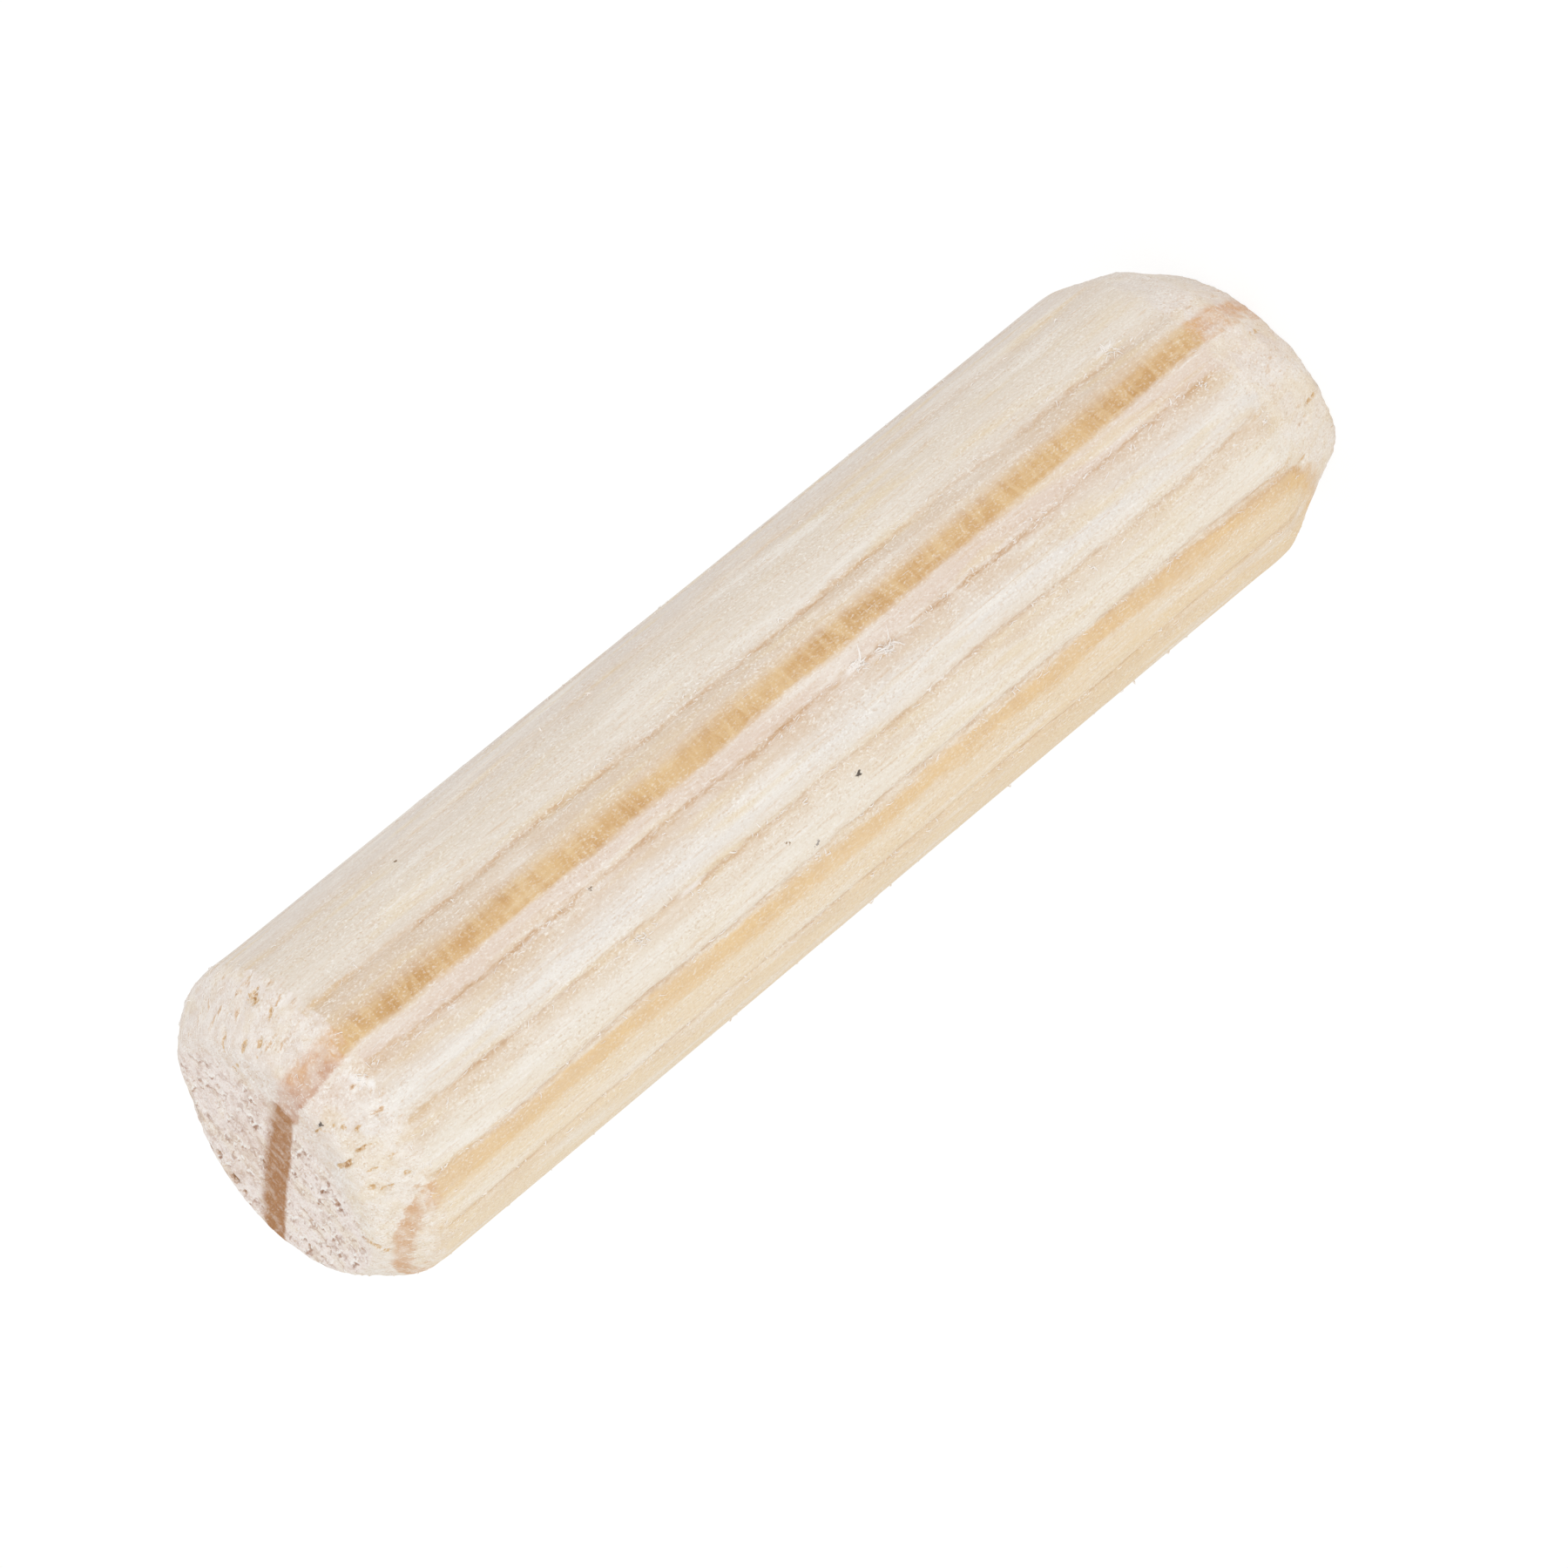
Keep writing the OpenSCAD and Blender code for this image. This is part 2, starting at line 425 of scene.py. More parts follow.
def press_flutes(tree, here, wood):
    """Pressed wood tinted tan that fades away from each flute's root on one side, partly painted
    shade;
    tan fuzz beside the root, partly painted groove shade; and the root itself as a soft broken
    line, paler towards the ends, whose dark tone is partly painted groove shade."""
    frayed = patches(tree, here.place, 0.12, 0.35, 0.2, 0.8, 12, 3.0)
    frayed = add(tree, "Math MULTIPLY_ADD", {0: frayed, 1: 0.10, 2: -0.05})
    across = add(tree, "Math ADD", {0: here.flute_side, 1: frayed})
    before = add(tree, "MapRange", {
        "Value": across, "From Min": -0.70, "From Max": -0.25}, **SOFT)
    after = add(tree, "MapRange", {"Value": across, "From Min": 0.10, "From Max": 0.0}, **SOFT)
    bruise_and_shade = patches(tree, here.place, 0.4, 1.5, 0.30, 0.56, 13, 3.0)
    # Partly painted shade: the tan band on one side of each root.
    wood = stain(tree, wood, "#DDC3A6", 0.60, before, after, bruise_and_shade, here.flute_mark)

    away = add(tree, "Math ABSOLUTE", {0: across})
    beside = add(tree, "MapRange", {"Value": away, "From Min": 0.22, "From Max": 0.03}, **SOFT)
    fuzz_and_groove_shade = patches(tree, here.place, 0.10, 0.4, 0.42, 0.60, 25, 3.0)
    # Partly painted groove shade: tan patches beside the root.
    wood = stain(tree, wood, "#D6B48C", 0.50, beside, fuzz_and_groove_shade, here.flute_mark)

    root = add(tree, "MapRange", {"Value": away, "From Min": 0.08, "From Max": 0.01}, **SOFT)
    broken = patches(tree, here.place, 0.3, 1.0, 0.30, 0.56, 14, 3.0)
    grainy = patches(tree, here.place, 0.06, 0.14, 0.28, 0.52, 30)
    near_end = add(tree, "Math ADD", {0: here.height, 1: -0.5 * PIN_LENGTH})
    near_end = add(tree, "Math ABSOLUTE", {0: near_end})
    near_end = add(tree, "MapRange", {"Value": near_end, "From Min": 11.4, "From Max": 12.8})
    tone = stain(tree, srgb("#C99F74"), "#DDBD90", 1.0, near_end)
    # Partly painted groove shade: the dark line of the root.
    return stain(tree, wood, tone, 0.76, root, broken, grainy, here.flute_mark)


def cut_earlywood(tree, here, wood):
    """Earlywood cut across: pale and crumbly on the chamfers, pinkish on the faces."""
    paler = add(tree, "MapRange", {
        "Value": here.ring, "From Min": -2.5, "From Max": 1.0, "To Min": 0.3, "To Max": 0.8})
    wood = stain(tree, wood, "#F0E6DF", 1.0, paler)
    wood = stain(tree, wood, "#F6EAE4", 0.85, here.face)
    wood = mottle(tree, wood, here.place, [("#EFE0C6", 0.45, 0.7, 0.7, 0.48, 0.66, 31)])

    # Duller beside the middle sheet, and greyer on one side of the bottom end, which is painted
    # shade
    beside = add(tree, "MapRange", {
        "Value": here.ring, "From Min": 1.5, "From Max": 0.3, "To Min": 0.35})
    blotches = patches(tree, here.place, 1.0, 1.0, 0.40, 0.60, 38)
    wood = stain(tree, wood, "#DDC4B4", 0.55, beside, here.not_past, blotches, here.face)
    # Painted shade: one side of the bottom chamfer is greyed.
    wood = stain(tree, wood, "#DDD5CC", 0.45, here.lower, here.dull)

    # Painted shade: the gaps between the crumbs are darkened in a tan tone.
    hollow = add(tree, "MapRange", {"Value": here.crumble, "From Min": 0.45, "From Max": 0.0})
    tone = stain(tree, srgb("#D4B189"), "#B8957F", 1.0, here.face)
    strength = add(tree, "Math MULTIPLY_ADD", {0: here.face, 1: 0.25, 2: 0.20})
    wood = stain(tree, wood, tone, strength, hollow, here.crumbly)
    return tear_face(tree, here, tear_chamfers(tree, here, wood))


def tear_chamfers(tree, here, wood):
    """Torn fibres: gashes that run down the slope, tan with a thin dark core, and a painted
    highlight along one edge.
    """
    slope = add(tree, "MapRange", {"Value": here.end_grain, "From Min": 0.95, "From Max": 0.85})
    masks = patches(tree, here.place, 0.9, 0.9, 0.44, 0.60, 29), here.crumbly, slope
    # Painted highlight: a white edge on one side of each gash.
    lip = add(tree, "VectorMath ADD", {0: here.unrolled, 1: (0.05, 0.05, 0.0)})
    wood = mottle(tree, wood, lip, [("#FBF6EF", 0.65, 0.20, 0.36, 0.57, 0.64, 28, 3.0)], *masks)
    return mottle(tree, wood, here.unrolled, (
        ("#D9B184", 0.75, 0.20, 0.36, 0.59, 0.67, 28, 3.0),
        ("#AB7847", 0.80, 0.20, 0.36, 0.67, 0.73, 28, 3.0)), *masks)


def tear_face(tree, here, wood):
    """Pores torn open on the faces: brown holes with a painted highlight along one edge, and short
    curls.
    """
    masks = patches(tree, here.place, 0.9, 0.9, 0.38, 0.56, 29), here.face
    # Painted highlight: a white edge on one side of each hole.
    lip = add(tree, "VectorMath ADD", {0: here.smeared, 1: (-0.05, 0.03, 0.0)})
    wood = mottle(tree, wood, lip, [("#FFFCF7", 0.85, 0.19, 0.19, 0.56, 0.62, 37)], *masks)
    wood = mottle(tree, wood, here.smeared, (
        ("#B68F7B", 0.85, 0.19, 0.19, 0.58, 0.66, 37),
        ("#8E6244", 0.80, 0.19, 0.19, 0.65, 0.73, 37)), *masks)
    curl = patches(tree, here.smeared, 0.26, 0.26, 0.0, 1.0, 36, 1.0)
    curl = add(tree, "Math ADD", {0: curl, 1: -0.5})
    curl = add(tree, "Math ABSOLUTE", {0: curl})
    curl = add(tree, "MapRange", {"Value": curl, "From Min": 0.08, "From Max": 0.01}, **SOFT)
    short = patches(tree, here.smeared, 0.26, 0.26, 0.48, 0.60, 35)
    return stain(tree, wood, "#B48D79", 0.60, curl, short, *masks)


def cut_latewood(tree, here):
    """Latewood cut across: pink on a chamfer, brown on a face, browner at one edge of the middle
    sheet and paler in the outer sheet."""
    wood = add(tree, "ValToRGB", {"Fac": here.cut}, stops=[
        (0.0, "#DCB47C"), (0.3, "#E1B686"), (0.5, "#DFB287"), (0.7, "#D9AE90"),
        (1.0, "#CFA286")])
    wood = mottle(tree, wood, here.place, [("#EADACD", 0.40, 0.16, 0.16, 0.40, 0.62, 32, 3.0)])
    upward = add(tree, "MapRange", {
        "Value": here.height, "From Min": 28.75, "From Max": 29.10, "To Min": 0.2})
    wood = stain(tree, wood, "#C08A6A", 0.75, here.browner, upward)
    wood = stain(tree, wood, "#DEB68E", 0.80, here.outer)
    wood = stain(tree, wood, "#EBD8BC", 0.60, here.lower, here.outer)
    face_tone = mottle(tree, srgb("#AE7949"), here.smeared, [
        ("#C09066", 0.5, 0.13, 0.13, 0.5, 0.7, 33, 3.0)])
    return stain(tree, wood, face_tone, 1.0, here.brown)


def latewood_bared(tree, here):
    """Where cut latewood shows between crumbs of earlywood: wholly on the faces and where a chamfer
    starts, and in part on a chamfer, but there only on half of the middle sheet at the bottom end
    and on one stretch of the outer sheet at the top end."""
    part = patches(tree, here.place, 0.4, 0.4, 0.36, 0.60, 19, 3.0)
    part = add(tree, "Math MULTIPLY_ADD", {0: part, 1: 0.35, 2: 0.65})
    gap = add(tree, "Math SUBTRACT", {0: here.gap, 1: here.rubbed})
    half = add(tree, "Mix", {"Factor": here.lower, "A": 1.0, "B": here.half}, data_type="FLOAT")
    shown = add(tree, "Mix", {"Factor": here.outer, "A": half, "B": gap}, data_type="FLOAT")
    part = add(tree, "Math MULTIPLY", {0: part, 1: shown})
    bare = add(tree, "Math MAXIMUM", {0: part, 1: here.brown})
    start = add(tree, "MapRange", {"Value": here.cut, "From Min": 0.55, "From Max": 0.35})
    return add(tree, "Math MAXIMUM", {0: bare, 1: start})


def tear_pits(tree, here, wood):
    """Torn pits, tan at their edges and brown where deep, the brown partly painted shade."""
    tooth = patches(tree, here.place, 0.09, 0.12, 0.25, 0.75, 20, 4.0)
    tooth = add(tree, "Math MULTIPLY_ADD", {0: tooth, 1: 1.5, 2: 0.15})
    pit = add(tree, "Math MULTIPLY", {0: here.torn, 1: tooth})
    # The deeper brown is partly torn wood and partly painted shade.
    for tone, face_tone, strength, low, high in (
            ("#DDB782", "#C4A088", 0.80, 0.15, 0.65), ("#B0804F", "#8E6136", 0.85, 0.75, 1.40)):
        depth = add(tree, "MapRange", {"Value": pit, "From Min": low, "From Max": high}, **SOFT)
        tone = stain(tree, srgb(tone), face_tone, 1.0, here.face)
        wood = stain(tree, wood, tone, strength, depth)
    return wood


def strew_grains_and_glints(tree, here, wood, clear):
    """Sandy grain of cut fibres: light grains, which are painted glints, and dark tan grains, about
    0.05 mm across, in patches, and fewer on latewood."""
    sandy = patches(tree, here.place, 0.6, 1.6, 0.3, 0.7, 26)
    sandy = add(tree, "Math MULTIPLY_ADD", {0: sandy, 1: 0.5, 2: 0.5})
    sandy = add(tree, "Math MULTIPLY_ADD", {0: here.cut, 1: 0.2, 2: sandy})
    place = add(
        tree, "Mix", {"Factor": here.facing, "A": here.place, "B": here.smeared},
        data_type="VECTOR")
    smooth = add(tree, "Math MULTIPLY", {0: here.brown, 1: here.middle_band})
    clear = add(tree, "Math MULTIPLY_ADD", {0: smooth, 1: -0.35, 2: clear})
    # Painted glints: the light grains.
    return mottle(tree, wood, place, (
        ("#FFFCF6", 0.72, 0.045, 0.065, 0.50, 0.74, 21),
        ("#CBA67C", 0.44, 0.05, 0.08, 0.48, 0.78, 22)), sandy, clear)


def strew_specks(tree, here, wood):
    """A few specks of dirt with ragged outlines."""
    outline = patches(tree, here.place, 0.07, 0.07, 0.2, 0.8, 27)
    for degrees_round, distance, height, radius, colour in SPECKS:
        at = radians(degrees_round)
        middle = (distance * cos(at), distance * sin(at), height)
        away = add(tree, "VectorMath DISTANCE", {0: here.place, 1: middle})
        away = add(tree, "Math MULTIPLY_ADD", {0: outline, 1: SPECK_RAGGED, 2: away})
        speck = add(tree, "MapRange", {
            "Value": away, "From Min": radius + SPECK_RAGGED / 2,
            "From Max": radius * 0.6 + SPECK_RAGGED / 2})
        wood = stain(tree, wood, colour, 0.9, speck)
    return wood


def fine_relief(tree, here):
    """Relief too fine for the mesh: fibres along the side, pores on the ends."""
    fibres = patches(tree, here.place, 0.06, 0.8, 0.2, 0.8, 23, 3.0)
    pores = patches(tree, here.place, 0.05, 0.08, 0.2, 0.8, 24)
    rise = add(tree, "Mix", {"Factor": here.cut, "A": fibres, "B": pores}, data_type="FLOAT")
    rise = add(tree, "Math MULTIPLY_ADD", {0: pores, 1: 0.5, 2: rise})
    return add(tree, "Bump", {"Strength": 0.5, "Distance": 0.02 * MM, "Height": rise})


def softwood():
    """Bare pine, turned and pressed: matt and pale, with ochre latewood, long fine streaks, sandy
    grains of cut fibres with painted glints, tan roots in the flutes that are partly painted groove
    shade, and pinkish porous end grain where the latewood turns brown. Its fibres are 0.03 mm wide,
    too fine to show, and are drawn twice as wide."""
    material, tree = new_material("bare pine, turned and pressed")
    here = read_surface(tree)
    read_rings(tree, here)

    early = earlywood(tree, here)
    wood = stain(tree, early, latewood(tree, here), 0.97, here.late)
    wood = press_flutes(tree, here, wood)

    cut_wood = cut_earlywood(tree, here, early)
    bared = latewood_bared(tree, here)
    cut_wood = stain(tree, cut_wood, cut_latewood(tree, here), 0.94, here.late_cut, bared)
    crumb = add(tree, "MapRange", {"Value": here.crumble, "From Min": 0.52, "From Max": 0.98})
    clear = add(tree, "Math MULTIPLY_ADD", {0: here.late_cut, 1: -0.35, 2: 1.0})
    cut_wood = stain(tree, cut_wood, "#FBF5EE", 0.40, crumb, here.crumbly, clear)
    covered = add(tree, "MapRange", {"Value": here.cut, "From Min": 0.10, "From Max": 0.36}, **SOFT)
    wood = stain(tree, wood, cut_wood, 1.0, covered)

    wood = tear_pits(tree, here, wood)
    wood = strew_grains_and_glints(tree, here, wood, clear)
    wood = stain(tree, wood, "#FBF7F3", 0.88, here.lifted)
    wood = strew_specks(tree, here, wood)
    shader = add(tree, "BsdfPrincipled", {
        "Base Color": wood, "Roughness": 0.8, "IOR": 1.45, "Specular IOR Level": 0.3,
        "Normal": fine_relief(tree, here)})
    add(tree, "OutputMaterial", {"Surface": shader})
    return material


# ---- surface of the pin

COLUMNS = 480
BOTTOM_RINGS, SIDE_RINGS, TOP_RINGS = 34, 92, 52
BOTTOM_CENTRE = 3.3  # heights that the end rings are cast from
TOP_CENTRE = PIN_LENGTH - 2.0
BOTTOM_FACE_TILT = radians(180 - 35)  # where the outermost rings lie on the end faces
TOP_FACE_TILT = radians(54.5)

RINGS = (
    [(BOTTOM_CENTRE, BOTTOM_FACE_TILT + (pi / 2 - BOTTOM_FACE_TILT) * i / BOTTOM_RINGS)
     for i in range(BOTTOM_RINGS)]
    + [(BOTTOM_CENTRE + (TOP_CENTRE - BOTTOM_CENTRE) * i / SIDE_RINGS, pi / 2)
       for i in range(SIDE_RINGS)]
    + [(TOP_CENTRE, pi / 2 + (TOP_FACE_TILT - pi / 2) * i / (TOP_RINGS - 1))
       for i in range(TOP_RINGS)])

# Circles inside each end face, as (vertices round, radius), closest where the top face has pores,
# and then steps inwards to the last rings
BOTTOM_FILL = (((160, 2.0), (80, 1.4)), (0.5, 0.5))
TOP_FILL = ((*((240, 2.72 - 0.08 * i) for i in range(17)), (120, 1.34)), (0.09,) * 13)

COLUMN_STEPS = 7200  # directions between which the columns are placed
CROWDING, CROWD_WIDTH = 1.8, 0.24  # how much closer columns lie at a root, and how far out

# How plainly each flute shows, and how far in mm some of the torn lines lie off the pressed root
FLUTE_MARKS = (0.8, 0.7, 0.9, 0.7, 1.0, 0.6, 0.8, 0.35, 0.55, 0.60, 0.72, 0.95, 0.68, 0.15, 0.35)
FLUTE_SHIFTS = {9: -0.02, 10: -0.05, 12: 0.09, 13: -0.17}
FLUTE_BOTTOMS = {11: 2.4, 12: 3.5, 13: 4.5}  # heights that some of them fade at near the bottom
GROOVE_DEPTH = 0.22  # share of the pressed depth that a plain flute keeps
GROOVE_BEFORE, GROOVE_AFTER = 0.16, 0.09  # half-widths on the two sides of the root
SHOULDER_DEPTH = 0.020  # how far the wood beside a groove is pressed down
SHOULDER_BEFORE, SHOULDER_AFTER = 0.3, 0.12  # and how far out
SPLAYED_LENGTH = 0.9  # how far from the chamfers a flute is wider

# Torn places: angle round the pin in degrees, height on the sawn pin, half-length, half-width and
# depth. A chip that stands up has a negative depth.
TORN_PLACES = (
    (-39.6, 28.84, 0.24, 0.17, 0.12), (-49.8, 28.9, 0.18, 0.07, 0.08),
    (-32.0, 29.68, 0.16, 0.08, 0.08), (-45.1, 29.63, 0.16, 0.09, 0.09),
    (-51.6, 29.44, 0.15, 0.09, 0.08), (-54.1, 29.62, 0.1, 0.07, 0.07),
    (-93.0, 29.78, 0.11, 0.06, 0.1), (-95.3, 29.62, 0.13, 0.08, 0.07),
    (-97.6, 29.42, 0.12, 0.07, 0.1), (-101.0, 29.18, 0.18, 0.05, 0.09),
    (-107.8, 29.36, 0.14, 0.07, 0.1), (-110.8, 29.76, 0.14, 0.1, 0.13),
    (-100.7, 28.86, 0.07, 0.05, 0.06), (-115.0, 29.01, 0.09, 0.1, 0.05),
    (-122.6, 28.92, 0.17, 0.05, 0.07), (-123.5, 29.64, 0.12, 0.08, 0.09),
    (-125.3, 29.36, 0.14, 0.06, 0.08), (-117.0, 29.45, 0.16, 0.05, 0.06),
    (-156.0, 29.8, 0.14, 0.12, 0.06), (-159.0, 29.68, 0.08, 0.14, 0.06),
    (-119.3, 0.42, 0.4, 0.05, 0.08), (-122.4, 0.77, 0.32, 0.06, 0.06),
    (-134.0, 1.4, 0.28, 0.06, 0.06), (-84.0, 0.65, 0.24, 0.11, 0.05),
    (-95.7, 0.45, 0.2, 0.06, 0.05), (-87.2, 28.78, 0.09, 0.12, -0.06),
    (-89.3, 28.67, 0.11, 0.15, -0.06), (-91.6, 28.56, 0.09, 0.12, -0.06),
    (-87.2, 13.9, 0.3, 0.1, -0.06), (-88.6, 13.1, 0.26, 0.08, -0.05),
    (-90.3, 13.5, 0.5, 0.04, 0.05), (-107.9, 20.0, 0.4, 0.07, -0.05),
    (-57.6, 3.9, 0.3, 0.09, -0.05))
TEAR_UNIT = 0.1  # depth of a tear whose surface value is 1
CHIP_HEIGHT = 0.06  # height of a chip whose fibres stand up fully
TEAR_SHARE = 0.6  # how much of a tear is form, beside its colour
STRAY_TEAR = 0.03  # depth of the small tears all over the cuts

# Where a chamfer stands out or in: angle round the pin in degrees, height, degrees wide, mm tall
# and amount
FULLER_PLACES = (
    (16, 29.4, 22, 0.9, 0.13), (103, 30.0, 34, 0.7, 0.06), (43, 29.9, 24, 0.4, -0.12),
    (-172, 1.9, 14, 0.5, 0.12), (-104, 0.0, 12, 0.4, 0.04), (-140, 0.0, 12, 0.4, 0.05),
    (-25, 0.2, 12, 0.5, 0.05), (-166, 0.2, 10, 0.5, -0.11), (-12, 1.8, 12, 0.7, -0.09))

# Pores torn open on the top face: distance from the axis, angle in degrees, radius and depth
TOP_FACE_PITS = (
    (2.53, -38, 0.1, 0.07), (2.35, -32.5, 0.12, 0.08), (1.97, 4, 0.12, 0.06),
    (1.31, 14.8, 0.1, 0.06), (1.6, 27, 0.12, 0.07), (1.37, -14, 0.09, 0.06),
    (0.92, -152, 0.1, 0.06), (1.81, -125, 0.11, 0.07), (1.95, -143, 0.14, 0.09),
    (1.5, 152, 0.11, 0.08), (1.87, -164.5, 0.11, 0.09), (1.87, 176, 0.1, 0.08),
    (2.6, 137, 0.12, 0.1), (2.43, 158, 0.15, 0.1), (2.82, -166, 0.1, 0.06),
    (2.72, 71.6, 0.13, 0.2), (2.76, 86, 0.16, 0.22), (2.76, 92.8, 0.1, 0.12))
PITTED_RIM = 0.3  # how far below the top face they cut in

# The saw cut of the top end: how much it leans along x and along y, how much it shortens the pin,
# and how far from the end the lean starts and is full
SAW_LEAN_X, SAW_LEAN_Y, SAW_SHORT = 0.025, 0.033, 0.11
SAW_START, SAW_FULL = 4, 1

# Cut fibres show on the bottom chamfer up to a height that goes round like a tilted ring
BOTTOM_CUT, BOTTOM_CUT_SWING, BOTTOM_CUT_LEAST = 1.67, 0.9, 1.4
BOTTOM_CUT_SIDE = radians(-60)  # where it is highest


def column_angles():
    """Angles of the columns, closer together beside each flute."""
    crowd = [0.0]
    for i in range(COLUMN_STEPS):
        away = nearest_flute(2 * pi * i / COLUMN_STEPS)[1]
        crowd.append(crowd[-1] + 1 + CROWDING * exp(-(away / CROWD_WIDTH) ** 2))
    angles, i = [], 0
    for column in range(COLUMNS):
        wanted = crowd[-1] * column / COLUMNS
        while crowd[i + 1] < wanted:
            i += 1
        part = (wanted - crowd[i]) / (crowd[i + 1] - crowd[i])
        angles.append(2 * pi * (i + part) / COLUMN_STEPS)
    return angles


def lands_round_a_ring(centre_height, tilt):
    """(angle, radius, height, end grain) of points on the lands, where no flute cuts the solid."""
    points = []
    for k, (at, _) in enumerate(FLUTES):
        gap = (FLUTES[(k + 1) % len(FLUTES)][0] - at) % (2 * pi)
        for share in (0.3, 0.5, 0.7):
            angle = at + gap * share
            points.append((angle % (2 * pi), *reach(centre_height, tilt, angle)))
    points.sort()
    first, last = points[0], points[-1]
    return [(last[0] - 2 * pi, *last[1:]), *points, (first[0] + 2 * pi, *first[1:])]


def between(points, angle):
    """Radius, height and end grain at angle, from the points on either side of it."""
    for low, high in zip(points, points[1:]):
        if low[0] <= angle <= high[0]:
            part = (angle - low[0]) / (high[0] - low[0])
            return [a + (b - a) * part for a, b in zip(low[1:], high[1:])]
    return points[-1][1:]


def latewood_at(x, y):
    """How much of the wood at a point is latewood, from 0 to 1."""
    ring = RING_NORMAL.x * x + RING_NORMAL.y * y + RING_START
    ring += RING_CURVE * (RING_TANGENT.x * x + RING_TANGENT.y * y - RING_MIDDLE) ** 2
    return max(
        darkness * ease(-ring, -start, -full) * ease(ring, ended, fading)
        for start, full, fading, ended, darkness, _ in SHEETS)


def flute_relief(angle, height):
    """(drop below the lands, distance from the root, how marked the flute is) on the side. The
    fibres of a pressed flute spring back, so less of it is left open than was pressed."""
    k, away = nearest_flute(angle)
    pressed = FLUTES[k][1]
    away += FLUTE_SHIFTS.get(k, 0.0)

    # The root strays in long and short waves, and opens and closes along the pin
    away += 0.15 * waver(height * 0.25, k * 5.3, 0) + 0.045 * waver(height * 1.5, k * 5.3, 9)
    long_wave = 0.6 * waver(height * 0.35, k * 2.9, 30)
    open_share = 0.75 + long_wave + 0.4 * waver(height * 1.7, k * 2.9, 31)
    open_share = min(1.0, max(0.3, open_share))
    from_chamfers = max(0.0, min(height - BOTTOM_SHOULDER, TOP_SHOULDER - height))
    near_end = exp(-from_chamfers / SPLAYED_LENGTH)

    half_width = (GROOVE_BEFORE if away < 0 else GROOVE_AFTER) + 0.03 * near_end
    groove = max(0.0, 1 - abs(away) / half_width) ** 1.2 * open_share
    depth = GROOVE_DEPTH * pressed * groove * min(1.0, 1.6 * FLUTE_MARKS[k])
    shoulder = exp(-(away / (SHOULDER_BEFORE if away < 0 else SHOULDER_AFTER)) ** 2)

    # Its mark ends between the flutes, and near the chamfers it splays out in places
    mark = FLUTE_MARKS[k] * min(1.0, open_share + 0.5 * near_end)
    mark *= 1 - ease(abs(away), 0.55, 0.72)
    faded = FLUTE_BOTTOMS.get(k, 0.0)
    mark *= ease(height, faded - 0.3, faded + 0.4)
    splayed = 1 + 0.9 * near_end * ease(waver(height * 0.8, k * 4.1, 50), -0.2, 0.5)
    return depth + SHOULDER_DEPTH * shoulder, away / splayed, mark


def torn_relief(angle, height, cut):
    """Depth of the torn places, with ragged edges. cut is 1 on the chamfers, 0 on the side."""
    depth = 0.0
    for at, middle, along, across, deepest in TORN_PLACES:
        if abs(height - middle) < 2 * along:
            away = turn_from(radians(at), angle) * LAND_RADIUS
            if abs(away) < 2.5 * across:
                spread = (away / across) ** 2 + ((height - middle) / along) ** 2
                spread += (1.4 if deepest > 0 else 0.5) * waver(angle * 44, height * 9, at)
                depth += deepest * (1 - ease(spread, 0.0, 1.3))
    if cut > 0:
        stray = waver(angle * 20, height * 3.0, 40) + 0.5 * waver(angle * 60, height * 8, 41)
        depth += cut * STRAY_TEAR * ease(stray, 0.30, 0.85)
    return depth


def open_pore(x, y):
    """Depth of the pores torn open on the top face."""
    depth = 0.0
    for distance, degrees_round, radius, deepest in TOP_FACE_PITS:
        at = radians(degrees_round)
        away = Vector((x - distance * cos(at), y - distance * sin(at))).length / radius
        depth = max(depth, deepest * (1 - ease(away + 0.5 * waver(x * 9, y * 9, 5), 0.2, 1.1)))
    return depth


def fibre_relief(x, y, height, cut):
    """Slight ridges of the fibres on the side, and a rougher fuzz on the cuts, where the hard
    latewood stays smoother."""
    ridges = 0.010 * waver(x * 1.6, y * 1.6, height * 0.1)
    ridges += 0.007 * waver(x * 4.5, y * 4.5, height * 0.25)
    rough = 0.024 * waver(x * 3.5, y * 3.5, height * 2.2) + 0.018 * waver(x * 9, y * 9, height * 6)
    late = latewood_at(x, y)
    return ridges - 0.008 * late + cut * (rough + 0.006) * (1 - 0.75 * late)


def sawn(x, y, z):
    """Leans the top end, which was sawn a little out of square."""
    share = ease(z, PIN_LENGTH - SAW_START, PIN_LENGTH - SAW_FULL)
    return Vector((x, y, z + share * (SAW_LEAN_Y * y - SAW_LEAN_X * x - SAW_SHORT)))


def fullness(angle, height):
    """How far a chamfer stands out or in where the tool left it fuller or leaner."""
    return sum(
        amount * exp(-((turn_from(radians(at), angle) / radians(wide)) ** 2))
        * exp(-((height - middle) / tall) ** 2)
        for at, middle, wide, tall, amount in FULLER_PLACES)


